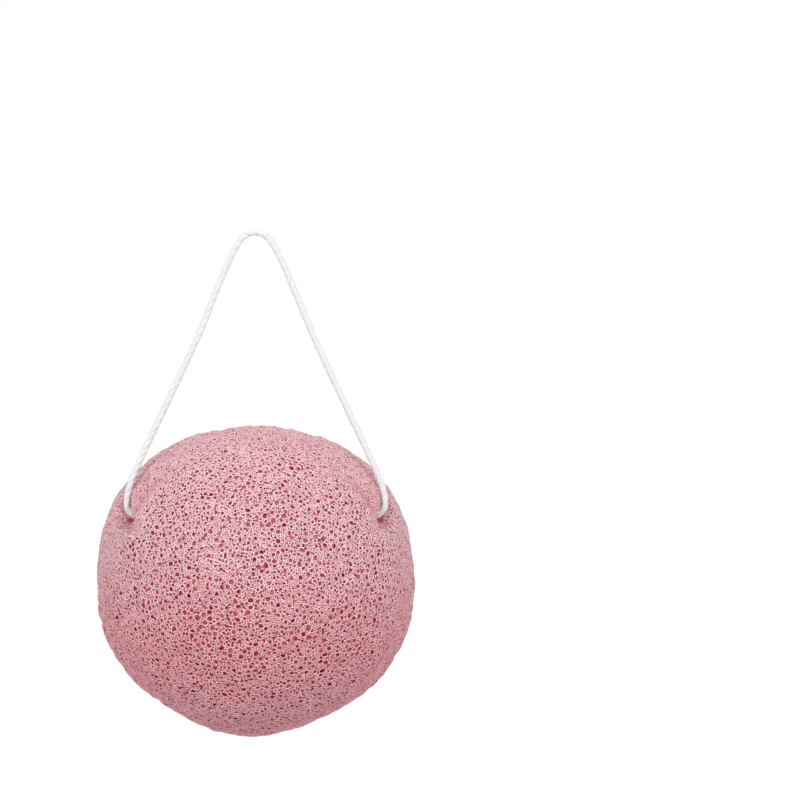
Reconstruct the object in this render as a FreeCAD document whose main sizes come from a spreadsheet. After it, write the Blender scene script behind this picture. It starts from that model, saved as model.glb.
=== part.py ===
# Konjac sponge: a half ball of plant fibre foam on a twisted cotton hanging loop
import FreeCAD, Part
import math
import os
import Sketcher

# Driving sizes in millimetres and degrees. The part hangs from its loop: the origin is where the
# hook bears on the cord, +Z is up, the dome faces -Y and the flat back faces +Y.
SIZES = {
    # Foam half ball: widest radius, rounded rim, crown ahead of the widest plane
    "foam_radius": 40.0,
    "rim_radius": 9.0,
    "crown_height": 34.0,
    # From the hook down to the middle of the foam, and from there up to the cord tunnel
    "foam_drop": 87.3,
    "tunnel_rise": 15.3,
    # From the flat back forward to the tunnel: the balance line, so that the back hangs upright
    "tunnel_depth": 16.8,
    # Round mouth at each end of the tunnel, in from the widest radius, which lets the cord swing
    "mouth_radius": 4.3,
    "mouth_inset": 5.2,
    # Shallow hollow that the pull of the cord leaves in each shoulder: its size, how far its middle
    # lies off the dome and in from the widest radius, and its place round the dome
    "hollow_length": 18.0,
    "hollow_width": 14.0,
    "hollow_thickness": 8.0,
    "hollow_lift": 1.0,
    "hollow_inset": 3.0,
    "hollow_angle": 29.0,
    # Cotton cord, and how loosely it turns in its tunnel
    "cord_diameter": 1.7,
    "cord_clearance": 0.05,
    # The loop's ends inside the tunnel, and where they turn up in its mouths, both in from the
    # widest radius
    "end_inset": 12.0,
    "bend_inset": 6.8,
    "bend_lift": 8.8,
    # Half the width of the loop's top, where it lies over the hook
    "top_spread": 2.55,
    # Knot in the middle of the tunnel, of close turns with two cut tails
    "knot_turn_radius": 1.35,
    "knot_turn_pitch": 1.5,
    "knot_tail_length": 4.0,
}
KNOT_TURNS = 3

# Where the loop ends in the tunnel, as an expression on the sheet
END_SPREAD = "(sizes.foam_radius - sizes.end_inset)"
# Measures of the knot, as expressions on the sheet: half its length over the turns, how far its tails
# lie from its axis, and half the length of the pocket that holds them
KNOT_HALF = f"(sizes.knot_turn_pitch * {KNOT_TURNS - 1} / 2 + sizes.cord_diameter / 2)"
TAIL_OFFSET = "(sizes.cord_diameter + sizes.cord_clearance)"
POCKET_HALF = f"({KNOT_HALF} + sizes.knot_tail_length + sizes.cord_clearance)"

# Free points of the loop's left leg and right leg, as (x, z) below the hook, from the shoulder up
LEFT_LEG = [(-20.3, -37.5), (-9.1, -11.0)]
RIGHT_LEG = [(20.4, -37.6), (9.0, -10.8)]
# Share of the shorter run that an arc takes up at a corner of the route
CORNER_SHARE = 0.45
# Widest difference between a swept tube's volume and its section times its length
VOLUME_SHARE = 0.01


def make_sheet(doc):
    """Puts every driving size in a spreadsheet cell whose alias is the size's name."""
    sheet = doc.addObject("Spreadsheet::Sheet", "sizes")
    for row, (name, value) in enumerate(SIZES.items(), start=1):
        sheet.set(f"A{row}", name)
        sheet.set(f"B{row}", str(value))
        sheet.setAlias(f"B{row}", name)
    doc.recompute()
    return sheet


def bind(obj, **expressions):
    """Ties properties of obj to the sheet. Two underscores in a name stand for a dot."""
    for name, expression in expressions.items():
        obj.setExpression(name.replace("__", "."), expression)


def bind_last(sketch, expression):
    """Ties the dimension that was just added to sketch."""
    sketch.setExpression(f"Constraints[{sketch.ConstraintCount - 1}]", expression)


def origin_plane(body, role):
    return next(f for f in body.Origin.OriginFeatures if f.Role == role)


def along_x():
    """Turns a shape that stands along Z so that it lies along X."""
    return FreeCAD.Rotation(FreeCAD.Vector(0, 1, 0), 90)


def dome_arc(sheet):
    """Middle and radius of the crown's arc, which runs smoothly into the arc of the rim.

    The middle is a place on the axis of the dome, counted from the tunnel towards the back.
    """
    reach = sheet.foam_radius - sheet.rim_radius
    rise = sheet.crown_height - sheet.rim_radius
    behind = (reach**2 - rise**2) / (2 * rise)
    return sheet.tunnel_depth - sheet.rim_radius + behind, sheet.crown_height + behind


def dome_profile(body, sheet):
    """Half section of the foam: crown arc, rounded rim, flat back and the axis they turn about.

    The sketch's Y axis is the axis of the dome, and its X axis lies in the plane of the tunnel.
    """
    rim = sheet.rim_radius
    back = sheet.tunnel_depth
    wide = back - rim
    crown = wide - sheet.crown_height
    rim_x = sheet.foam_radius - rim
    dome_y, dome_radius = dome_arc(sheet)
    tangent = math.atan2(wide - dome_y, rim_x)
    up = FreeCAD.Vector(0, 0, 1)
    dome_circle = Part.Circle(FreeCAD.Vector(0, dome_y, 0), up, dome_radius)
    rim_circle = Part.Circle(FreeCAD.Vector(rim_x, wide, 0), up, rim)
    sketch = body.newObject("Sketcher::SketchObject", "dome_profile")
    sketch.AttachmentSupport = (origin_plane(body, "XY_Plane"), [""])
    sketch.MapMode = "FlatFace"
    dome = sketch.addGeometry(Part.ArcOfCircle(dome_circle, -math.pi / 2, tangent), False)
    edge = sketch.addGeometry(Part.ArcOfCircle(rim_circle, tangent, math.pi / 2), False)
    flat_ends = FreeCAD.Vector(rim_x, back, 0), FreeCAD.Vector(0, back, 0)
    flat = sketch.addGeometry(Part.LineSegment(*flat_ends), False)
    axis_ends = FreeCAD.Vector(0, back, 0), FreeCAD.Vector(0, crown, 0)
    axis = sketch.addGeometry(Part.LineSegment(*axis_ends), False)
    start, end, middle, v_axis, h_axis = 1, 2, 3, -2, -1
    for rule in (
        ("Tangent", dome, end, edge, start),
        ("Tangent", edge, end, flat, start),
        ("Coincident", flat, end, axis, start),
        ("Coincident", axis, end, dome, start),
        ("PointOnObject", axis, start, v_axis),
        ("PointOnObject", axis, end, v_axis),
        ("PointOnObject", dome, middle, v_axis),
        ("Horizontal", flat),
    ):
        sketch.addConstraint(Sketcher.Constraint(*rule))
    for kind, place, value, expression in (
        ("Radius", (edge,), rim, "sizes.rim_radius"),
        ("DistanceX", (h_axis, start, edge, middle), rim_x, "sizes.foam_radius - sizes.rim_radius"),
        ("DistanceY", (h_axis, start, flat, end), back, "sizes.tunnel_depth"),
        ("DistanceY", (axis, end, flat, end), back - crown, "sizes.crown_height + sizes.rim_radius"),
    ):
        sketch.addConstraint(Sketcher.Constraint(kind, *place, value))
        bind_last(sketch, expression)
    return sketch


def cut_mouth(body):
    """Round mouth of the tunnel on the right."""
    ball = body.newObject("PartDesign::SubtractiveSphere", "tunnel_mouth")
    bind(
        ball,
        Radius="sizes.mouth_radius",
        Placement__Base__x="sizes.foam_radius - sizes.mouth_inset",
        Placement__Base__z="sizes.tunnel_rise",
    )
    return ball


def cut_hollow(body, sheet):
    """Hollow of the right shoulder: a lens laid on the dome, long side towards the top of the dome."""
    dome_y, dome_radius = dome_arc(sheet)
    angle = math.radians(sheet.hollow_angle)
    ring = sheet.foam_radius - sheet.hollow_inset
    ahead = math.sqrt(dome_radius**2 - ring**2)
    outward = FreeCAD.Vector(ring * math.cos(angle), -ahead, ring * math.sin(angle))
    normal = FreeCAD.Vector(outward).normalize()
    upward = FreeCAD.Vector(-math.sin(angle), 0, math.cos(angle))
    place = FreeCAD.Vector(0, dome_y, 0) + outward + normal * sheet.hollow_lift
    hollow = body.newObject("PartDesign::SubtractiveEllipsoid", "shoulder_hollow")
    hollow.Angle1, hollow.Angle2, hollow.Angle3 = -90, 90, 360
    bind(
        hollow,
        Radius1="sizes.hollow_thickness / 2",
        Radius2="sizes.hollow_length / 2",
        Radius3="sizes.hollow_width / 2",
    )
    turn = FreeCAD.Rotation(upward, normal.cross(upward), normal, "ZXY")
    hollow.Placement = FreeCAD.Placement(place, turn)
    return hollow


def mirrored(doc, body, feature):
    """Repeats a cut of the right side on the left side."""
    doc.recompute()
    copy = body.newObject("PartDesign::Mirrored", f"{feature.Name}_left")
    copy.Originals = [feature]
    copy.MirrorPlane = (origin_plane(body, "YZ_Plane"), [""])
    body.Tip = copy
    doc.recompute()


def cut_rod(body, name, radius, length):
    """Straight round passage along the tunnel's line, even about the middle plane."""
    rod = body.newObject("PartDesign::SubtractiveCylinder", name)
    rod.Placement = FreeCAD.Placement(FreeCAD.Vector(), along_x())
    bind(
        rod,
        Radius=radius,
        Height=length,
        Placement__Base__x=f"-({length}) / 2",
        Placement__Base__z="sizes.tunnel_rise",
    )


def make_foam(doc, sheet):
    """The half ball, with its cord tunnel, knot pocket, tunnel mouths and shoulder hollows."""
    body = doc.addObject("PartDesign::Body", "sponge_body")
    dome = body.newObject("PartDesign::Revolution", "dome")
    profile = dome_profile(body, sheet)
    dome.Profile = profile
    dome.ReferenceAxis = (profile, ["V_Axis"])
    dome.Angle = 360
    body.Tip = dome
    doc.recompute()
    volumes = [body.Shape.Volume]
    tunnel_radius = "sizes.cord_diameter / 2 + sizes.cord_clearance"
    for name, radius, length in (
        ("cord_tunnel", tunnel_radius, "2 * sizes.foam_radius"),
        ("knot_pocket", f"{TAIL_OFFSET} + {tunnel_radius}", f"2 * {POCKET_HALF}"),
    ):
        cut_rod(body, name, radius, length)
        doc.recompute()
        volumes.append(body.Shape.Volume)
    mirrored(doc, body, cut_mouth(body))
    volumes.append(body.Shape.Volume)
    mirrored(doc, body, cut_hollow(body, sheet))
    volumes.append(body.Shape.Volume)
    print("foam volume after each feature:", [round(v, 1) for v in volumes])
    if any(after >= before for before, after in zip(volumes, volumes[1:])):
        raise RuntimeError("a cut in the foam removed nothing")
    bind(body, Placement__Base__z="-sizes.foam_drop")
    return body


def loop_points(sheet):
    """Corners of the loop's route, from its end in the left of the tunnel to its end in the right."""
    low = sheet.tunnel_rise - sheet.foam_drop
    shoulder = low + sheet.bend_lift
    end = sheet.foam_radius - sheet.end_inset
    bend = sheet.foam_radius - sheet.bend_inset
    left = [(-end, low), (-bend, low), (-bend, shoulder)]
    right = [(-x, z) for x, z in left]
    top = [(-sheet.top_spread, sheet.cord_diameter / 2), (sheet.top_spread, sheet.cord_diameter / 2)]
    points = left + LEFT_LEG + top + RIGHT_LEG[::-1] + right[::-1]
    return [FreeCAD.Vector(x, 0, z) for x, z in points]


def rounded_route(points):
    """One wire of straight runs joined by tangent arcs, each as large as its two runs allow."""
    edges = []
    at = points[0]
    radii = []
    for before, corner, after in zip(points, points[1:], points[2:]):
        arrive = corner - before
        leave = after - corner
        turn = arrive.getAngle(leave)
        reach = CORNER_SHARE * min(arrive.Length, leave.Length)
        radii.append(reach / math.tan(turn / 2))
        first = corner - FreeCAD.Vector(arrive).normalize() * reach
        last = corner + FreeCAD.Vector(leave).normalize() * reach
        inward = (first + last) / 2 - corner
        sagitta = radii[-1] / math.cos(turn / 2) - radii[-1]
        crest = corner + inward.normalize() * sagitta
        edges.append(Part.LineSegment(at, first).toShape())
        edges.append(Part.Arc(first, crest, last).toShape())
        at = last
    edges.append(Part.LineSegment(at, points[-1]).toShape())
    print("loop radii in mm:", [round(r, 2) for r in radii])
    return Part.Wire(edges)


def make_loop(doc, sheet):
    """The free stretch of cord: out of one tunnel mouth, over the hook and into the other."""
    route = doc.addObject("Part::Feature", "loop_route")
    points = loop_points(sheet)
    route.Shape = rounded_route(points)
    section = doc.addObject("Part::Circle", "loop_section")
    section.Placement = FreeCAD.Placement(points[0], along_x())
    bind(section, Radius="sizes.cord_diameter / 2")
    loop = doc.addObject("Part::Sweep", "cord_loop")
    loop.Sections = [section]
    loop.Spine = (route, [f"Edge{n + 1}" for n in range(len(route.Shape.Edges))])
    loop.Solid = True
    doc.recompute()
    expected = math.pi * (sheet.cord_diameter / 2) ** 2 * route.Shape.Length
    print(f"loop length {route.Shape.Length:.2f} mm, volume {loop.Shape.Volume:.2f} of {expected:.2f} mm3")
    if abs(loop.Shape.Volume - expected) > VOLUME_SHARE * expected:
        raise RuntimeError("the loop's tube has the wrong volume")
    return loop


def make_run(doc, name, start):
    """One buried stretch of cord, from the knot out to the loop's end."""
    run = doc.addObject("Part::Cylinder", name)
    run.Placement = FreeCAD.Placement(FreeCAD.Vector(), along_x())
    bind(
        run,
        Radius="sizes.cord_diameter / 2",
        Height=f"{END_SPREAD} - sizes.cord_clearance - {KNOT_HALF}",
        Placement__Base__x=start,
        Placement__Base__z="sizes.tunnel_rise - sizes.foam_drop",
    )
    return run


def make_knot(doc):
    """Close turns of cord round a core, with a cut tail on each side."""
    pieces = []
    for n in range(KNOT_TURNS):
        turn = doc.addObject("Part::Torus", f"knot_turn_{n + 1}")
        turn.Placement = FreeCAD.Placement(FreeCAD.Vector(), along_x())
        step = n - (KNOT_TURNS - 1) / 2
        bind(
            turn,
            Radius1="sizes.knot_turn_radius",
            Radius2="sizes.cord_diameter / 2",
            Placement__Base__x=f"{step} * sizes.knot_turn_pitch",
        )
        pieces.append(turn)
    core_start = f"-{KNOT_HALF}"
    tail_start = f"sizes.knot_turn_pitch * {KNOT_TURNS - 1} / 2"
    tail_length = "sizes.knot_tail_length + sizes.cord_diameter / 2"
    for name, start, length, offset in (
        ("knot_core", core_start, f"2 * {KNOT_HALF}", "0"),
        ("knot_tail_right", tail_start, tail_length, TAIL_OFFSET),
        ("knot_tail_left", f"-({tail_start}) - ({tail_length})", tail_length, f"-{TAIL_OFFSET}"),
    ):
        rod = doc.addObject("Part::Cylinder", name)
        rod.Placement = FreeCAD.Placement(FreeCAD.Vector(), along_x())
        bind(
            rod,
            Radius="sizes.cord_diameter / 2",
            Height=length,
            Placement__Base__x=start,
            Placement__Base__z=offset,
        )
        pieces.append(rod)
    knot = doc.addObject("Part::MultiFuse", "cord_knot")
    knot.Shapes = pieces
    bind(knot, Placement__Base__z="sizes.tunnel_rise - sizes.foam_drop")
    return knot


def main():
    doc = FreeCAD.newDocument("konjac_sponge")
    sheet = make_sheet(doc)
    parts = [
        make_foam(doc, sheet),
        make_loop(doc, sheet),
        make_run(doc, "cord_run_left", f"sizes.cord_clearance - {END_SPREAD}"),
        make_run(doc, "cord_run_right", KNOT_HALF),
        make_knot(doc),
    ]
    doc.recompute()
    failed = [o.Name for o in doc.Objects if "Invalid" in o.State or "Error" in o.State]
    if failed:
        raise RuntimeError(f"failed objects: {failed}")
    for part in parts:
        shape = part.Shape
        if shape.isNull() or not shape.isValid() or len(shape.Solids) != 1:
            raise RuntimeError(f"{part.Name} is not one valid solid")
    os.makedirs("parts", exist_ok=True)
    for part in parts:
        part.Label = part.Name
        part.Shape.exportStep(f"parts/{part.Label}.step")
        centre = part.Shape.Solids[0].CenterOfMass
        place = [round(v, 3) for v in centre]
        print(f"{part.Label}: {part.Shape.Volume:.1f} mm3, centre {place}")


main()
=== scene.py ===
# %% [markdown]
# # A konjac sponge on its cotton loop
#
# A konjac sponge is a half ball of moulded plant-fibre foam with a cotton cord through its
# shoulders, which hangs it up to dry. The solids of foam and cord come from the CAD model.
# This lesson gives them what makes the real thing look soft: thousands of open pores, the
# creases that the cord pulls into the shoulders, and the twist of the yarn. The solids are
# loaded first, because every piece made here takes its place and size from them.

# %% Load the solids
import itertools
import math

import bmesh
import bpy
import numpy as np
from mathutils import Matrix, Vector, kdtree


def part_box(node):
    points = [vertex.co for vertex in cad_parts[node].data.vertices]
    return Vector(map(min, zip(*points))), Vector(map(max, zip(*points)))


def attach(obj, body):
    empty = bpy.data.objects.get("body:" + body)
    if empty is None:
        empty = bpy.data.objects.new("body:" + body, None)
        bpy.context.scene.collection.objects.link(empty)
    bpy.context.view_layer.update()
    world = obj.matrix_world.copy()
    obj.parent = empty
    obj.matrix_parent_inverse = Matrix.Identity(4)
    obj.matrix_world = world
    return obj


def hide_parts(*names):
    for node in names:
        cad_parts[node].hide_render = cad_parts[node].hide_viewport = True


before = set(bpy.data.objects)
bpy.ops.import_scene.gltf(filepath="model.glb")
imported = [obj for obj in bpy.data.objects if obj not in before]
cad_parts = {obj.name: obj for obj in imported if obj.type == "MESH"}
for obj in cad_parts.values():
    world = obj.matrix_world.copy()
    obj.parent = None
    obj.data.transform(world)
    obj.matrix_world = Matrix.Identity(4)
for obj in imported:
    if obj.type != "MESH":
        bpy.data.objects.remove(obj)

MM = 0.001
TURN = 2 * math.pi

scene = bpy.context.scene
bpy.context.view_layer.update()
foam_low, foam_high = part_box("sponge_body")
tunnel_low, tunnel_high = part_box("cord_run_left")

# %% [markdown]
# ## Sums in shaders
#
# Every finish below is worked out by shader nodes. Wiring Math nodes one by one hides the
# sum that they make, so one small class wraps a socket: Python's own operators then add the
# Math nodes, and `1 - mask` reads as it does on paper. Any other node comes from `node`,
# which sets the node's options first and its sockets after.

# %% A socket that can be added and multiplied
class Wire:
    """A shader node's output, or a bare tree, from which more nodes grow."""

    def __init__(self, tree, socket=None):
        self.tree = tree
        self.socket = socket

    def node(self, kind, options=None, sockets=None, output=None):
        made = self.tree.nodes.new("ShaderNode" + kind)
        for name, value in (options or {}).items():
            setattr(made, name, value)
        for key, value in (sockets or {}).items():
            named = [s for s in made.inputs if s.enabled and s.name == key]
            socket = made.inputs[key] if isinstance(key, int) else named[0]
            self.feed(socket, value)
        shown = [s for s in made.outputs if s.enabled and output in (None, s.name)]
        return Wire(self.tree, shown[0])

    def feed(self, socket, value):
        if isinstance(value, Wire):
            self.tree.links.new(value.socket, socket)
        else:
            socket.default_value = value

    def math(self, operation, first, second=0.0):
        return self.node("Math", {"operation": operation}, {0: first, 1: second})

    def __add__(self, other):
        return self.math("ADD", self, other)

    def __sub__(self, other):
        return self.math("SUBTRACT", self, other)

    def __rsub__(self, other):
        return self.math("SUBTRACT", other, self)

    def __mul__(self, other):
        return self.math("MULTIPLY", self, other)

    def rise(self, low, high):
        """0 below low, 1 above high, and smooth between them."""
        sockets = {"Value": self, "From Min": low, "From Max": high}
        return self.node("MapRange", {"interpolation_type": "SMOOTHSTEP"}, sockets, "Result")

    def tint(self, first, second):
        """The first colour where this wire is 0, the second where it is 1."""
        return self.node("Mix", {"data_type": "RGBA"}, {"Factor": self, "A": first, "B": second})


def new_finish(name):
    """A material, the wire its nodes grow from, and its shader."""
    material = bpy.data.materials.new(name)
    material.use_nodes = True
    return material, Wire(material.node_tree), material.node_tree.nodes["Principled BSDF"]


def linear(red, green, blue):
    """A colour as a screen shows it, from 0 to 255, as the light that shaders count in."""
    shares = np.array([red, green, blue]) / 255
    light = np.where(shares > 0.04045, ((shares + 0.055) / 1.055) ** 2.4, shares / 12.92)
    return (*light.tolist(), 1.0)


print("shader helper ready, mid pink is", [round(c, 3) for c in linear(206, 149, 156)])

# %% [markdown]
# ## Camera
#
# The photograph is square and looks at the dome from a little above. The foam is 80 mm wide
# and 315 pixels of the photograph, which gives the scale. A long lens far away keeps the
# half ball from bulging, as a studio photographer would. The camera isn't shifted: the foam
# sits to the left in the frame simply because the camera points past it.

# %% Camera
PHOTO_SIDE = 800
MM_PER_PIXEL = 0.254
MIDDLE_COLUMN = 255.2
HOOK_ROW = 235.8
CAMERA_DISTANCE = 1.1
CAMERA_ELEVATION = math.radians(3)

aim = Vector((PHOTO_SIDE / 2 - MIDDLE_COLUMN, 0, HOOK_ROW - PHOTO_SIDE / 2)) * MM_PER_PIXEL * MM
backward = Vector((0, -math.cos(CAMERA_ELEVATION), math.sin(CAMERA_ELEVATION)))
camera = bpy.data.objects.new("camera", bpy.data.cameras.new("camera"))
camera.location = aim + backward * CAMERA_DISTANCE
camera.rotation_euler = backward.to_track_quat("Z", "Y").to_euler()
frame_width = PHOTO_SIDE * MM_PER_PIXEL * MM
camera.data.lens = camera.data.sensor_width * CAMERA_DISTANCE / frame_width
scene.collection.objects.link(camera)
scene.camera = camera
print(f"camera {CAMERA_DISTANCE} m away, lens {camera.data.lens:.0f} mm, aim {aim[:]}")

# %% [markdown]
# ## Studio
#
# In the photograph the light is even from side to side and fades gently from top to bottom,
# with no shadow on the ground. A lamp alone can't do that, but an even sky with a soft box
# on either side can: the boxes stand high and to the front, so the underside stays darker,
# and they draw the edges of the pores. What the camera sees of the sky is plain white. The
# floor is pale and melts into that white.

# %% Sky, lamps and floor
SKY_MIDDLE = 0.68
SKY_SLOPE = 0.07
LAMP_POWER = 3.6
LAMP_SIZE = 0.4
LAMP_PLACES = (-0.6, -0.85, 0.5), (0.6, -0.85, 0.5)
FLOOR_RADIUS = 0.9
FLOOR_DROP = 0.3
FLOOR_FADE = FLOOR_RADIUS / 4, FLOOR_RADIUS * 0.97
FLOOR_GREY = linear(222, 222, 222)
FLOOR_ROUGHNESS = 0.9
FLOOR_SEGMENTS = 96

scene.view_settings.view_transform = "Standard"
world = bpy.data.worlds.new("studio")
world.use_nodes = True
scene.world = world
sky = Wire(world.node_tree)
ray = sky.node("TexCoord", output="Generated")
ray_height = sky.node("SeparateXYZ", sockets={"Vector": ray}, output="Z")
seen = sky.node("LightPath", output="Is Camera Ray")
strength = seen + (1 - seen) * (ray_height * SKY_SLOPE + SKY_MIDDLE)
shade = world.node_tree.nodes["Background"]
shade.inputs["Color"].default_value = (1, 1, 1, 1)
sky.feed(shade.inputs["Strength"], strength)

foam_middle = (foam_low + foam_high) / 2
for lamp_place in LAMP_PLACES:
    lamp = bpy.data.objects.new("softbox", bpy.data.lights.new("softbox", "AREA"))
    lamp.data.energy = LAMP_POWER
    lamp.data.size = LAMP_SIZE
    lamp.location = lamp_place
    lamp.rotation_euler = (lamp.location - foam_middle).to_track_quat("Z", "Y").to_euler()
    scene.collection.objects.link(lamp)

floor_finish, floor_wire, floor_shader = new_finish("pale_floor")
floor_shader.inputs["Base Color"].default_value = FLOOR_GREY
floor_shader.inputs["Roughness"].default_value = FLOOR_ROUGHNESS
on_floor = floor_wire.node("TexCoord", output="Object")
far = floor_wire.node("VectorMath", {"operation": "LENGTH"}, {0: on_floor}, "Value")
see_through = floor_wire.node("BsdfTransparent")
solid = Wire(floor_wire.tree, floor_shader.outputs["BSDF"])
parts = {"Fac": far.rise(*FLOOR_FADE), 1: solid, 2: see_through}
cover = floor_wire.node("MixShader", sockets=parts)
floor_wire.feed(floor_wire.tree.nodes["Material Output"].inputs["Surface"], cover)

floor_mesh = bpy.data.meshes.new("floor")
bm = bmesh.new()
bmesh.ops.create_circle(bm, cap_ends=True, segments=FLOOR_SEGMENTS, radius=FLOOR_RADIUS)
bm.to_mesh(floor_mesh)
bm.free()
floor_mesh.materials.append(floor_finish)
floor = bpy.data.objects.new("floor", floor_mesh)
floor.location.z = foam_low.z - FLOOR_DROP
scene.collection.objects.link(floor)
print(f"floor {FLOOR_DROP} m below the foam, {len(LAMP_PLACES)} lamps of {LAMP_POWER} W")

# %% [markdown]
# ## Route of the cord
#
# The loop hangs taut: out of one shoulder, over the hook and into the other. Its route is a
# list of given points, the same as in the CAD model, and the control points of a NURBS
# curve of order 3, which rounds them as a real cord does. The yarn needs the line as close
# points, so Blender turns the bare curve into a mesh and they are read from there.

# %% Route
ROUTE = [
    (-28.0, -72.0), (-32.6, -71.4), (-32.9, -64.6), (-26.0, -50.0), (-19.9, -37.2), (-13.9, -24.5),
    (-9.1, -12.0), (-4.9, -2.7), (-2.2, 0.85), (2.2, 0.85), (5.3, -2.9), (9.3, -12.0),
    (14.3, -24.5), (20.2, -37.2), (26.2, -50.0), (33.1, -64.6), (32.8, -71.4), (28.0, -72.0),
]
ROUTE_STEPS = 40
CORD_DIAMETER = 1.7 * MM

route_curve = bpy.data.curves.new("route", "CURVE")
route_curve.dimensions = "3D"
route_curve.resolution_u = ROUTE_STEPS
spline = route_curve.splines.new("NURBS")
spline.points.add(len(ROUTE) - 1)
for point, (x, z) in zip(spline.points, ROUTE):
    point.co = (x * MM, 0, z * MM, 1)
spline.order_u = 3
spline.use_endpoint_u = True
route_object = bpy.data.objects.new("route", route_curve)
scene.collection.objects.link(route_object)
bpy.context.view_layer.update()
line_mesh = bpy.data.meshes.new_from_object(route_object)
line = np.array([v.co[:] for v in line_mesh.vertices])
bpy.data.objects.remove(route_object)
steps = np.linalg.norm(np.diff(line, axis=0), axis=1)
run = np.concatenate([[0], np.cumsum(steps)])
cord_length = float(run[-1])
route_top = line[:, 2].max()
print(f"route of {len(line)} points, {cord_length / MM:.1f} mm long, top at {route_top / MM:.2f} mm")

# %% [markdown]
# ## Cotton
#
# The cord is soft white cotton, so its finish is matte and nearly white, with faint grey
# streaks along the fibres. The streaks follow the yarn, so they are drawn in the UV map that
# a bevelled curve brings with it: one way runs round the ply and the other along it.

# %% Cotton finish
COTTON_SHADE = linear(227, 229, 232)
COTTON_WHITE = linear(244, 245, 246)
COTTON_ROUGHNESS = 0.85
COTTON_SHINE = 0.2
COTTON_SHEEN = 0.2
FIBRE_BAND = 0.3, 0.7
FIBRE_DETAIL = 3.0
FIBRE_HEIGHT = 0.05 * MM
BUMP_STRENGTH = 0.5
PLY_STREAKS = 420, 14, 1
PLY_LEAN = 0.02
BURIED_STREAKS = 900, 6000, 6000


def cotton_finish(name, streaks):
    """White cotton. streaks makes the wire of a place on the yarn, stretched along the fibre."""
    material, wire, shader = new_finish(name)
    noise = {"Vector": streaks(wire), "Scale": 1.0, "Detail": FIBRE_DETAIL}
    fibre = wire.node("TexNoise", {}, noise, "Fac")
    white = fibre.rise(*FIBRE_BAND).tint(COTTON_SHADE, COTTON_WHITE)
    wire.feed(shader.inputs["Base Color"], white)
    shader.inputs["Roughness"].default_value = COTTON_ROUGHNESS
    shader.inputs["Specular IOR Level"].default_value = COTTON_SHINE
    shader.inputs["Sheen Weight"].default_value = COTTON_SHEEN
    rough = {"Strength": BUMP_STRENGTH, "Distance": FIBRE_HEIGHT, "Height": fibre}
    wire.feed(shader.inputs["Normal"], wire.node("Bump", {}, rough))
    return material


def along_ply(wire):
    uv = wire.node("UVMap", {"uv_map": "UVMap"})
    stretch = {"Vector": uv, "Scale": PLY_STREAKS, "Rotation": (0, 0, PLY_LEAN)}
    return wire.node("Mapping", {}, stretch)


def through_cord(wire):
    in_cord = wire.node("TexCoord", output="Object")
    return wire.node("Mapping", {}, {"Vector": in_cord, "Scale": BURIED_STREAKS})


ply_cotton = cotton_finish("twisted_cotton", along_ply)
plain_cotton = cotton_finish("buried_cotton", through_cord)
for node in ("cord_run_left", "cord_run_right", "cord_knot"):
    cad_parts[node].data.materials.clear()
    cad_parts[node].data.materials.append(plain_cotton)
print("cotton on", ply_cotton.name, "and", plain_cotton.name)

# %% [markdown]
# ## Twisted plies
#
# A smooth tube would look like wire. Real cotton cord is plies laid round each other, so
# each ply is a curve of its own that winds round the route, with a bevel for its thickness.
# A slow swell along each ply keeps the twist from looking machined. The plies become one
# mesh, because they are one cord.

# %% Plies
PLIES = 3
PLY_PITCH = 7.2 * MM
PLY_RADIUS = 0.6 * MM
PLY_OFFSET = CORD_DIAMETER / 2 - PLY_RADIUS
PLY_STEP = 0.35 * MM
PLY_BEVEL_STEPS = 4
SWELL_SHARE = 0.07
SWELL_WAVES = 3
SWELL_LENGTHS = 6 * MM, 20 * MM
ply_rng = np.random.default_rng(7)

at = np.linspace(0, cord_length, int(cord_length / PLY_STEP))
middle = np.stack([np.interp(at, run, line[:, k]) for k in range(3)], axis=1)
ahead = np.gradient(middle, at, axis=0)
ahead /= np.linalg.norm(ahead, axis=1)[:, None]
sideways = np.array([0.0, 1.0, 0.0])
outward = np.cross(ahead, sideways)

cord_bm = bmesh.new()
for ply in range(PLIES):
    angle = TURN * (at / PLY_PITCH + ply / PLIES)
    lengths = ply_rng.uniform(*SWELL_LENGTHS, SWELL_WAVES)
    phases = ply_rng.uniform(0, TURN, SWELL_WAVES)
    waves = [np.sin(TURN * at / length + phase) for length, phase in zip(lengths, phases)]
    swell = 1 + SWELL_SHARE * np.mean(waves, axis=0)
    offset = np.cos(angle)[:, None] * sideways + np.sin(angle)[:, None] * outward
    places = middle + offset * (PLY_OFFSET * swell)[:, None]
    ply_curve = bpy.data.curves.new("ply", "CURVE")
    ply_curve.dimensions = "3D"
    ply_curve.bevel_depth = PLY_RADIUS
    ply_curve.bevel_resolution = PLY_BEVEL_STEPS
    ply_curve.use_fill_caps = True
    strand = ply_curve.splines.new("POLY")
    strand.points.add(len(places) - 1)
    strand.points.foreach_set("co", np.c_[places, np.ones(len(places))].ravel())
    strand.points.foreach_set("radius", swell)
    ply_object = bpy.data.objects.new("ply", ply_curve)
    scene.collection.objects.link(ply_object)
    bpy.context.view_layer.update()
    cord_bm.from_mesh(bpy.data.meshes.new_from_object(ply_object))
    bpy.data.objects.remove(ply_object)
cord_mesh = bpy.data.meshes.new("twisted_loop")
cord_bm.to_mesh(cord_mesh)
cord_bm.free()
cord_mesh.shade_smooth()
cord_mesh.materials.clear()
cord_mesh.materials.append(ply_cotton)
cord = bpy.data.objects.new("twisted_loop", cord_mesh)
scene.collection.objects.link(cord)
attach(cord, "loop")
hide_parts("cord_loop")
map_names = [layer.name for layer in cord_mesh.uv_layers]
print(f"cord of {PLIES} plies, {len(cord_mesh.polygons)} faces, maps {map_names}")

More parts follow.
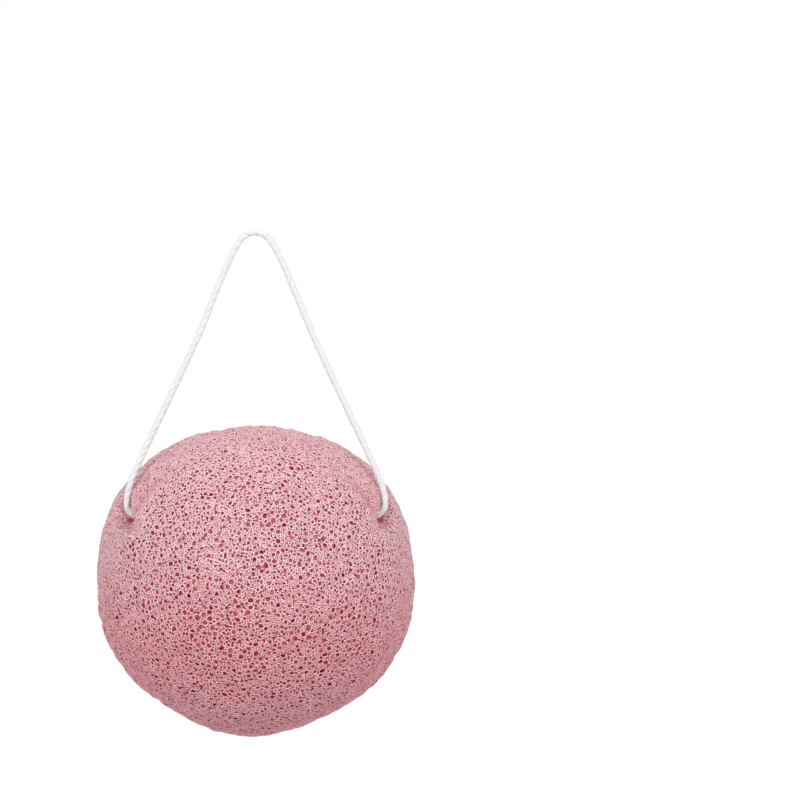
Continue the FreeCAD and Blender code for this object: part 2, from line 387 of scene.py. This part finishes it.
# %% [markdown]
# ## Form of the foam
#
# The foam starts as an icosphere, whose points are spread evenly with no poles or seams to
# show. Each point slides to the half ball's section: from the crown over the rounded rim to
# the middle of the flat back. Points are shared out by area, with more of them on the dome,
# where the pores show. The outline isn't a true circle: a moulded sponge is a little
# squarish and flatter on top, which a few slow waves round the axis give.

# %% Half ball
FOAM_SUBDIVISIONS = 9
RIM_RADIUS = 9 * MM
BACK_DETAIL_SHARE = 0.55
OUTLINE_SWELL = 0.0098
OUTLINE_WAVES = {
    1: (-0.0206, -0.0049), 2: (-0.0157, 0.0022), 3: (-0.0076, 0.0),
    4: (-0.0061, 0.0013), 5: (-0.0064, -0.002), 6: (0.0068, 0.0018),
}
LOBE_TURN, LOBE_WIDTH, LOBE_SWELL = math.radians(-60), 0.1, 0.012
LUMPS = {
    (14 * MM, 30 * MM): 0.2 * MM,
    (4 * MM, 9 * MM): 0.13 * MM,
    (2 * MM, 4 * MM): 0.11 * MM,
}
LUMP_WAVES = 14
SECTION_STEPS = 600


def smooth(low, high, value):
    """0 below low, 1 above high, with an even slope at both ends."""
    share = np.clip((value - low) / (high - low), 0, 1)
    return share * share * (3 - 2 * share)


def bell(value, middle, width):
    """1 at the middle, falling smoothly to 0 on both sides."""
    return np.exp(-(((value - middle) / width) ** 2))


def half_section(count):
    """Radius and depth of points on the foam's section, from the crown to the back's middle."""
    widest = (foam_high.x - foam_low.x) / 2
    wide_y = foam_high.y - RIM_RADIUS
    crown = wide_y - foam_low.y
    reach = widest - RIM_RADIUS
    rise = crown - RIM_RADIUS
    behind = (reach**2 - rise**2) / (2 * rise)
    joint = math.atan2(-behind, reach)
    dome = np.linspace(-math.pi / 2, joint, count)
    rim = np.linspace(joint, math.pi / 2, count)
    flat = np.linspace(reach, 0, count)
    radius = [np.cos(dome) * (crown + behind), reach + RIM_RADIUS * np.cos(rim), flat]
    depth = [
        wide_y + behind + np.sin(dome) * (crown + behind),
        wide_y + RIM_RADIUS * np.sin(rim),
        np.full(count, foam_high.y),
    ]
    return np.concatenate(radius), np.concatenate(depth)


bm = bmesh.new()
bmesh.ops.create_icosphere(bm, subdivisions=FOAM_SUBDIVISIONS, radius=1)
foam_mesh = bpy.data.meshes.new("konjac_foam")
bm.to_mesh(foam_mesh)
bm.free()
unit = np.empty((len(foam_mesh.vertices), 3))
foam_mesh.vertices.foreach_get("co", unit.ravel())
unit /= np.linalg.norm(unit, axis=1)[:, None]

section_radius, section_depth = half_section(SECTION_STEPS)
section_step = np.hypot(np.diff(section_radius), np.diff(section_depth))
ring_width = section_radius[1:] + section_radius[:-1]
detail = np.where(section_depth[1:] < foam_high.y - RIM_RADIUS / 2, 1, BACK_DETAIL_SHARE)
area = np.concatenate([[0], np.cumsum(section_step * ring_width * detail)])
area /= area[-1]
polar_share = (1 + unit[:, 1]) / 2
radius = np.interp(polar_share, area, section_radius)
depth = np.interp(polar_share, area, section_depth)
turn = np.arctan2(unit[:, 0], unit[:, 2])
widest = foam_high.x
bulge = OUTLINE_SWELL + LOBE_SWELL * bell(turn, LOBE_TURN, LOBE_WIDTH)
for n, (even, odd) in OUTLINE_WAVES.items():
    bulge += even * np.cos(n * turn) + odd * np.sin(n * turn)
radius *= 1 + bulge * smooth(widest / 3, widest, radius)
form = np.stack([radius * np.sin(turn), depth, foam_middle.z + radius * np.cos(turn)], axis=1)


def set_form(places):
    """Moves the foam's points and returns the normals of the new form."""
    foam_mesh.vertices.foreach_set("co", places.ravel())
    foam_mesh.update()
    normals = np.empty((len(places), 3))
    foam_mesh.vertex_normals.foreach_get("vector", normals.ravel())
    return normals


def random_waves(draws, places, lengths, count):
    """A sum of waves through space, each with its own heading, length and phase."""
    total = np.zeros(len(places))
    for _ in range(count):
        heading = draws.normal(size=3)
        heading *= TURN / np.linalg.norm(heading) / draws.uniform(*lengths)
        total += np.cos(places @ heading + draws.uniform(0, TURN))
    return total / math.sqrt(count)


normals = set_form(form)
lump_rng = np.random.default_rng(11)
lumps = np.zeros(len(form))
for lengths, height in LUMPS.items():
    lumps += height * random_waves(lump_rng, form, lengths, LUMP_WAVES)
form += normals * lumps[:, None]
print(f"foam of {len(form)} points, outline radius {radius.max() / MM:.2f} mm")

# %% [markdown]
# ## Where the cord bites
#
# The cord comes out of the foam at both shoulders and turns up at once, so it has worn a
# seat into the foam: wherever the loop swings, the foam stays clear of it. The foam closes
# round the cord where it goes in, and a small mouth opens below it. From each mouth a soft
# crease runs up inside the rim: the dome ends in a step there, and the rim beyond it is set
# back and smoother. All of this is pressed into the form with smooth falls, as the cord's
# own pull would do it.

# %% Cord seats, mouths and creases
SIDE_START = 20 * MM
LEG_LOW, LEG_HIGH = 0.5 * MM, 40 * MM
SEAT_GAP = 0.2 * MM
SEAT_SOFTNESS = 0.3 * MM
SEAT_FADE = 1.8 * MM
SWING_BACK, SWING_FRONT = math.radians(17), math.radians(102)
FRONT_SLANT = 0.1
SLANT_FRONT = 6 * MM
DIMPLE_RADIUS = 1.1 * MM
NOTCH_DEPTH, NOTCH_HEIGHT = 0.7 * MM, 1.0 * MM
DENT_INNER, DENT_OUTER = 33.4 * MM, 34.4 * MM
HOLE_DROP = 0.35 * MM
MOUTH_PLACE = 31.7 * MM, -0.3 * MM
MOUTH_SIZE = 0.8 * MM, 0.65 * MM
MOUTH_EDGE = 0.7, 1.25
MOUTH_REACH = 4 * MM
MOUTH_DEPTH = 0.4 * MM
CREASE_RADIUS = 35.0 * MM
CREASE_INNER, CREASE_OUTER = 0.9 * MM, 2.8 * MM
CREASE_DEPTH = 1.9 * MM
CREASE_SHADE_WIDTH = 0.9 * MM
CREASE_START, CREASE_END = math.radians(24), math.radians(62)
CREASE_MIDDLE = (CREASE_START + CREASE_END) / 2
CREASE_EASE = 0.12

tunnel_z = (tunnel_low.z + tunnel_high.z) / 2
normals = set_form(form)
rim_radius = np.hypot(form[:, 0], form[:, 2] - foam_middle.z)
front = smooth(foam_high.y - RIM_RADIUS / 2, 0, form[:, 1])
worn = np.zeros(len(form))
bare = np.zeros(len(form))
painted_crease_line = np.zeros(len(form))
mouth = np.zeros(len(form))
for side in (-1, 1):
    climb = np.arctan2(form[:, 2] - foam_middle.z, side * form[:, 0])
    fade = smooth(CREASE_START, CREASE_START + CREASE_EASE, climb)
    fade *= smooth(CREASE_END, CREASE_MIDDLE, climb)
    width = np.where(rim_radius < CREASE_RADIUS, CREASE_INNER, CREASE_OUTER)
    worn += CREASE_DEPTH * bell(rim_radius, CREASE_RADIUS, width) * fade * front
    # The line along each crease is kept for the painted shade that the finish draws there.
    painted_crease_line = np.maximum(painted_crease_line, bell(rim_radius, CREASE_RADIUS, CREASE_SHADE_WIDTH) * fade * front)
    beyond = smooth(CREASE_RADIUS - CREASE_INNER, CREASE_RADIUS, rim_radius)
    bare = np.maximum(bare, fade * beyond)
form[:, 1] += worn

clear = CORD_DIAMETER / 2 + SEAT_GAP
for side in (-1, 1):
    leg = line[line[:, 0] * side > 0]
    leg = leg[np.argsort(leg[:, 2])]
    leg = leg[(leg[:, 2] > tunnel_z + LEG_LOW) & (leg[:, 2] < tunnel_z + LEG_HIGH)]
    near = side * form[:, 0] > SIDE_START
    up = form[:, 2] - tunnel_z
    reach = np.hypot(form[:, 1], up)
    lean = np.arctan2(-form[:, 1], up)
    under = reach * np.sin(np.clip(lean - SWING_FRONT, 0, math.pi / 2))
    away = np.where(form[:, 1] < 0, under, np.clip(-up, 0, None))
    hole = np.hypot(form[:, 1], up + HOLE_DROP)
    dent = 1 - smooth(DENT_INNER, DENT_OUTER, side * form[:, 0])
    dimple = (1 - smooth(DIMPLE_RADIUS, DIMPLE_RADIUS + SEAT_FADE, hole)) * dent
    inside = np.maximum(1 - smooth(0, SEAT_FADE, away), dimple)
    limit = np.interp(reach, leg[:, 2] - tunnel_z, side * leg[:, 0]) - clear
    limit -= FRONT_SLANT * np.clip(-form[:, 1], 0, SLANT_FRONT)
    limit -= NOTCH_DEPTH * bell(up, -HOLE_DROP, NOTCH_HEIGHT) * (form[:, 1] < 0)
    swing = np.clip(up, 0, None) * math.tan(SWING_BACK) + clear / math.cos(SWING_BACK)
    over = np.minimum(side * form[:, 0] - limit, swing - form[:, 1])
    pressed = (over + np.sqrt(over**2 + SEAT_SOFTNESS**2)) / 2 * inside * near
    form[:, 0] -= side * pressed
    form[:, 1] += pressed
    across = (side * form[:, 0] - MOUTH_PLACE[0]) / MOUTH_SIZE[0]
    upward = (up - MOUTH_PLACE[1]) / MOUTH_SIZE[1]
    opening = 1 - smooth(*MOUTH_EDGE, np.hypot(across, upward))
    mouth = np.maximum(mouth, opening * (abs(form[:, 1]) < MOUTH_REACH))
normals = set_form(form)
form -= normals * (MOUTH_DEPTH * mouth)[:, None]
normals = set_form(form)
print(f"creases {worn.max() / MM:.2f} mm deep, {int((mouth > 0).sum())} points in the mouths")

# %% [markdown]
# ## Where the pores are
#
# The pores are bubbles of many sizes that were cut open: a few large, many medium, and
# fine ones in the gaps, packed so that only thin walls stay between them. Throwing darts
# gives that: sizes are drawn from a skewed law, the largest land first, and each lands only
# where it keeps its distance from those already there. Towards the rim the skin is denser,
# so pores shrink there, and a slow patchiness leaves some calm areas.

# %% Scatter pores
COARSE_TRIES = 26000
FINE_TRIES = 90000
PORE_MIDDLE = 0.32 * MM
FINE_LARGEST = PORE_MIDDLE / 1.6
PORE_SPREAD = 0.33
PORE_SMALLEST, PORE_LARGEST = 0.13 * MM, 0.62 * MM
PORE_SPACING_SHARE = 1.04
RIM_PORE_SHARE = 0.62
UPPER_PORE_SHARE, LOWER_PORE_SHARE = 0.95, 1.1
PATCH_SHARE = 0.12
PATCH_WAVES = 8
PATCH_LENGTHS = 7 * MM, 16 * MM
PATCH_SIZES = 0.25 * MM, 0.5 * MM
RIM_BAND = 30 * MM, 40 * MM
LOWER_BAND = -20 * MM, 25 * MM
BACK_SKIN = 2 * MM
BARE_SHRINK = 0.2
SIZE_STEPS = 0, 0.19, 0.38, 0.63, 2
NEIGHBOURS = list(itertools.product((-1, 0, 1), repeat=3))

pore_rng = np.random.default_rng(23)
coarse = PORE_MIDDLE * pore_rng.lognormal(0, PORE_SPREAD, COARSE_TRIES)
fine = pore_rng.uniform(PORE_SMALLEST, FINE_LARGEST, FINE_TRIES)
sizes = np.clip(np.concatenate([coarse, fine]), PORE_SMALLEST, PORE_LARGEST)
spots = pore_rng.integers(0, len(form), len(sizes))
patch = random_waves(pore_rng, form[spots], PATCH_LENGTHS, PATCH_WAVES)
on_rim = smooth(*RIM_BAND, rim_radius[spots]) * (form[spots, 1] < foam_high.y - BACK_SKIN)
sizes *= 1 + PATCH_SHARE * np.clip(patch, -1, 1) * smooth(*PATCH_SIZES, sizes)
low = smooth(*LOWER_BAND, foam_middle.z - form[spots, 2])
sizes *= UPPER_PORE_SHARE + (LOWER_PORE_SHARE - UPPER_PORE_SHARE) * low
sizes *= 1 - (1 - RIM_PORE_SHARE) * on_rim * (1 - low / 2)
sizes *= 1 - BARE_SHRINK * bare[spots]
cell = 2 * PORE_LARGEST
grid = {}
pores = []
for k in np.argsort(-sizes):
    size, spot = sizes[k], spots[k]
    if size < PORE_SMALLEST * RIM_PORE_SHARE:
        continue
    centre = form[spot]
    box = tuple((centre // cell).astype(int))
    boxes = [(box[0] + i, box[1] + j, box[2] + m) for i, j, m in NEIGHBOURS]
    held = [pore for near_box in boxes for pore in grid.get(near_box, ())]
    if any(math.dist(centre, c) < PORE_SPACING_SHARE * (size + s) for c, s in held):
        continue
    grid.setdefault(box, []).append((tuple(centre), size))
    pores.append((spot, size))
counts = np.histogram([s / MM for _, s in pores], SIZE_STEPS)[0]
print(f"{len(pores)} pores, by radius between {SIZE_STEPS} mm: {counts.tolist()}")

# %% [markdown]
# ## Carving the pores
#
# Each pore is pressed into the mesh as a round cup with a slightly raised lip. Its edge is
# wobbled a little so that no two are alike. A k-d tree finds the points near each pore, and
# where cups overlap the deeper one wins, which leaves a sharp wall between them, as between
# real bubbles. Each point also keeps its distance from the nearest pore's edge and that
# pore's tone as attributes. The tone differs from pore to pore, and painted shade is laid
# on it: deeper towards the pore's wall and on one side of it. A distance changes evenly
# across a face, so the finish can draw an edge from it that is finer than the mesh.

# %% Carve pores
CUP_DEPTH_SHARE = 1.2
CUP_DEPTH_SPREAD = 0.7, 1.15
CUP_FLATNESS = 3
CUP_SQUEEZE = 0.8, 1.0
SEARCH_SHARE = 1.25
LIP_REACH = 2.5
LIP_HEIGHT = 0.08 * MM
LIP_PLACE = 0.07 * MM
LIP_WIDTH = 0.13 * MM
# Painted shade inside each pore: deeper towards its wall and on one side.
WALL_SHADE_MIDDLE = 0.55
WALL_SHADE_BAND = 0.2, 0.8
SHADE_CRESCENT_SHARE = 0.8
RIM_LIP_SHARE = 0.65
FAR_GAP = 0.4 * MM
CREASE_CALM = 0.5
WOBBLES = (2, 0.07), (3, 0.05)
TONE_LEAST = 0.35
TONE_POWER = 1.3
DARK_TONE = 1.8
DARK_SHARE = 0.24
SPECK_LARGEST = 0.34 * MM
DEEPEST_SIZE = 0.5 * MM
LARGE_CALM = 0.12
SKIN_BAND = 30 * MM, 39 * MM
MOUTH_SHADE_WEIGHT, CREASE_SHADE_WEIGHT = 0.7, 0.37

tree = kdtree.KDTree(len(form))
for index, point in enumerate(form):
    tree.insert(point, index)
tree.balance()
sink = np.zeros(len(form))
tones_and_shade = np.zeros(len(form))
gaps = np.full(len(form), FAR_GAP)
lip = np.zeros(len(form))
shade_rng = np.random.default_rng(31)
for spot, size in pores:
    near_pore = tree.find_range(form[spot], size * SEARCH_SHARE + LIP_REACH * LIP_WIDTH)
    found = np.array([index for _, index, _ in near_pore])
    normal = normals[spot]
    across = np.cross(normal, shade_rng.normal(size=3))
    across /= np.linalg.norm(across)
    offset = form[found] - form[spot]
    a = offset @ across
    b = offset @ np.cross(normal, across)
    squeeze = shade_rng.uniform(*CUP_SQUEEZE)
    angle = np.arctan2(b, a)
    ripples = [h * np.cos(n * angle + shade_rng.uniform(0, TURN)) for n, h in WOBBLES]
    out = np.hypot(a, b / squeeze) / (size * (1 + sum(ripples)))
    cup = np.sqrt(np.clip(1 - out**CUP_FLATNESS, 0, None))
    # Painted shade: the tone deepens towards the pore's wall and on one random side of it.
    wall_shade = WALL_SHADE_MIDDLE + (1 - WALL_SHADE_MIDDLE) * smooth(*WALL_SHADE_BAND, out)
    shade_crescent = np.clip(out, 0, 1) * np.cos(angle - shade_rng.uniform(0, TURN))
    wall_shade *= 1 + SHADE_CRESCENT_SHARE * shade_crescent
    deep = min(size, DEEPEST_SIZE) * CUP_DEPTH_SHARE * shade_rng.uniform(*CUP_DEPTH_SPREAD)
    sink[found] = np.maximum(sink[found], deep * cup)
    dark = shade_rng.uniform() < DARK_SHARE and size < SPECK_LARGEST
    tone = DARK_TONE if dark else TONE_LEAST + shade_rng.uniform() ** TONE_POWER
    tone *= 1 - CREASE_CALM * bare[spot]
    tone *= 1 - LARGE_CALM * smooth(SPECK_LARGEST, DEEPEST_SIZE, size)
    gap = (out - 1) * size
    nearer = gap < gaps[found]
    gaps[found[nearer]] = gap[nearer]
    tones_and_shade[found[nearer]] = (wall_shade * tone)[nearer]
    lip[found] = np.maximum(lip[found], bell(gap, LIP_PLACE, LIP_WIDTH))
lip *= sink == 0
final = form + normals * (LIP_HEIGHT * lip - sink)[:, None]
set_form(final)
dense = np.maximum(smooth(*SKIN_BAND, rim_radius), bare)
marks = {
    "pore_gap": gaps / MM,
    # The pore's tone with painted shade laid on it.
    "pore_tone_and_shade": tones_and_shade,
    "paleness": 1 - (1 - RIM_LIP_SHARE) * dense,
    # Painted shade in the creases and in the mouths below the cord.
    "crease": np.maximum(MOUTH_SHADE_WEIGHT * mouth, CREASE_SHADE_WEIGHT * painted_crease_line),
}
for name, values in marks.items():
    attribute = foam_mesh.attributes.new(name, "FLOAT", "POINT")
    attribute.data.foreach_set("value", values.astype(np.float32))
open_share = (gaps < 0).mean()
print(f"carved pores up to {sink.max() / MM:.2f} mm deep, share in pores {open_share:.2f}")

# %% [markdown]
# ## A map for the finish
#
# When the finish is baked to an image, every face needs its own place on it. An automatic
# unwrap would shatter a porous surface into thousands of scraps, so the map is made from the
# sphere the foam started as: the front half becomes one disc and the back half another,
# both true to area.

# %% Map of two discs
DISC_REACH = 0.485
FRONT_DISC, BACK_DISC = 0.75, 0.25

polar = np.arccos(np.clip(-unit[:, 1], -1, 1))
corner_point = np.empty(len(foam_mesh.loops), np.int32)
foam_mesh.loops.foreach_get("vertex_index", corner_point)
face_front = unit[corner_point, 1].reshape(-1, 3).mean(axis=1) < 0
corner_front = np.repeat(face_front, 3)
corner_polar = np.where(corner_front, polar[corner_point], math.pi - polar[corner_point])
spread = np.sin(corner_polar / 2) / math.sin(math.pi / 4) * DISC_REACH
corner_turn = turn[corner_point]
disc = np.stack([
    0.5 + spread * np.sin(corner_turn) * np.where(corner_front, 1, -1),
    np.where(corner_front, FRONT_DISC, BACK_DISC) + spread * np.cos(corner_turn) / 2,
], axis=1)
layer = foam_mesh.uv_layers.new(name="OFBake")
layer.data.foreach_set("uv", disc.astype(np.float32).ravel())
print(f"map spans {disc.min(axis=0).round(3)} to {disc.max(axis=0).round(3)}")

# %% [markdown]
# ## Foam finish
#
# Moist konjac foam is matte. Its walls are pale pink, their edges paler still where light
# soaks through, and the insides of the pores a deep rose. The carved pores bring those
# zones as attributes. Pores too fine to carve are drawn by a Voronoi pattern, and a fine
# noise roughens the walls. The creases and the mouths below the cord get painted shade in
# deep rose. Light from above is painted in too: the upper half of the dome is paler, and the
# lower half, as painted shade, rosier. The flat back is more even.

# %% Foam finish
WALL_PINK = linear(203, 130, 138)
LIP_PINK = linear(255, 215, 221)
PORE_ROSE = linear(186, 52, 75)
DARK_ROSE = linear(66, 4, 18)
SPECK_ROSE = linear(120, 36, 51)
# Painted shade of deep rose for the creases and the mouths.
CREASE_SHADE_ROSE = linear(200, 84, 103)
# Painted light and shade: the dome is tinted paler towards the top and rosier towards the bottom.
LIT_TOP_TINT, SHADED_BOTTOM_TINT = (0.965, 1.06, 1.05, 1), (0.985, 0.86, 0.875, 1)
LIT_TOP_HEIGHT, SHADED_BOTTOM_HEIGHT = -72 * MM, -108 * MM
BACK_BAND = 8 * MM, 16 * MM
BACK_EVENNESS = 0.75
SPECK_SCALE = 2000
SPECK_EDGE = 0.2, 0.4
SPECK_CHANCE = 0.25, 0.5
NET_WIDTH, NET_SHARE = 0.1, 0.4
LIP_RISE, LIP_FALL = (0.0, 0.05), (0.1, 0.24)
CUP_EDGE = -0.06, 0.03
PALE_BAND = 0.1, 1.0
ROSE_BAND = 0.05, 0.9
DARK_BAND = 1.0, 1.8
LIP_COVER = 0.6
GRAIN_SCALE = 5200
GRAIN_DETAIL = 2.0
GRAIN_SHARE = 0.6
GRAIN_HEIGHT = 0.08 * MM
FOAM_ROUGHNESS = 0.8
FOAM_SHINE = 0.03

foam_finish, wire, shader = new_finish("konjac_foam")
on_foam = wire.node("TexCoord", output="Object")
pore_gap, pore_tone_and_shade, paleness, crease = [
    wire.node("Attribute", {"attribute_name": name}, output="Fac") for name in marks
]
noise = {"Vector": on_foam, "Scale": GRAIN_SCALE, "Detail": GRAIN_DETAIL}
grain = wire.node("TexNoise", {}, noise, "Fac")
cells = {"Vector": on_foam, "Scale": SPECK_SCALE}
from_middle = wire.node("TexVoronoi", {}, cells, "Distance")
cell_colour = wire.node("TexVoronoi", {}, cells, "Color")
chance = wire.node("SeparateColor", {}, {"Color": cell_colour}, "Red")
from_edge = wire.node("TexVoronoi", {"feature": "DISTANCE_TO_EDGE"}, cells, "Distance")
speck = (1 - from_middle.rise(*SPECK_EDGE)) * chance.rise(*SPECK_CHANCE)
net = 1 - from_edge.rise(0.0, NET_WIDTH)
pale_lip = pore_gap.rise(*LIP_RISE) * (1 - pore_gap.rise(*LIP_FALL)) * paleness
in_pore = 1 - pore_gap.rise(*CUP_EDGE)
colour = (pale_lip + net * NET_SHARE).rise(*PALE_BAND).tint(WALL_PINK, LIP_PINK)
colour = (speck * (1 - pale_lip * LIP_COVER)).tint(colour, SPECK_ROSE)
colour = (in_pore * pore_tone_and_shade.rise(*ROSE_BAND)).tint(colour, PORE_ROSE)
colour = (in_pore * pore_tone_and_shade.rise(*DARK_BAND)).tint(colour, DARK_ROSE)
# Painted shade: the creases and the mouths below the cord are tinted deep rose.
colour = crease.rise(*ROSE_BAND).tint(colour, CREASE_SHADE_ROSE)
# Painted light from above: paler high on the dome, rosier low on it as painted shade, less so on the
# flat back.
foam_height = wire.node("SeparateXYZ", sockets={"Vector": on_foam}, output="Z")
depth_in = wire.node("SeparateXYZ", sockets={"Vector": on_foam}, output="Y")
strong = 1 - depth_in.rise(*BACK_BAND) * BACK_EVENNESS
painted_light_share = (foam_height.rise(SHADED_BOTTOM_HEIGHT, LIT_TOP_HEIGHT) - 0.5) * strong + 0.5
painted_light_tint = painted_light_share.tint(SHADED_BOTTOM_TINT, LIT_TOP_TINT)
blend = {"data_type": "RGBA", "blend_type": "MULTIPLY"}
colour = wire.node("Mix", blend, {"Factor": 1.0, "A": colour, "B": painted_light_tint})
wire.feed(shader.inputs["Base Color"], colour)
shader.inputs["Roughness"].default_value = FOAM_ROUGHNESS
shader.inputs["Specular IOR Level"].default_value = FOAM_SHINE
uneven = grain * GRAIN_SHARE - speck
rough = {"Strength": BUMP_STRENGTH, "Distance": GRAIN_HEIGHT, "Height": uneven}
wire.feed(shader.inputs["Normal"], wire.node("Bump", {}, rough))

foam_mesh.shade_smooth()
foam_mesh.materials.clear()
foam_mesh.materials.append(foam_finish)
foam = bpy.data.objects.new("konjac_foam", foam_mesh)
scene.collection.objects.link(foam)
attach(foam, "sponge")
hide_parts("sponge_body")
print(f"foam of {len(foam_mesh.polygons)} faces in {foam_finish.name}")
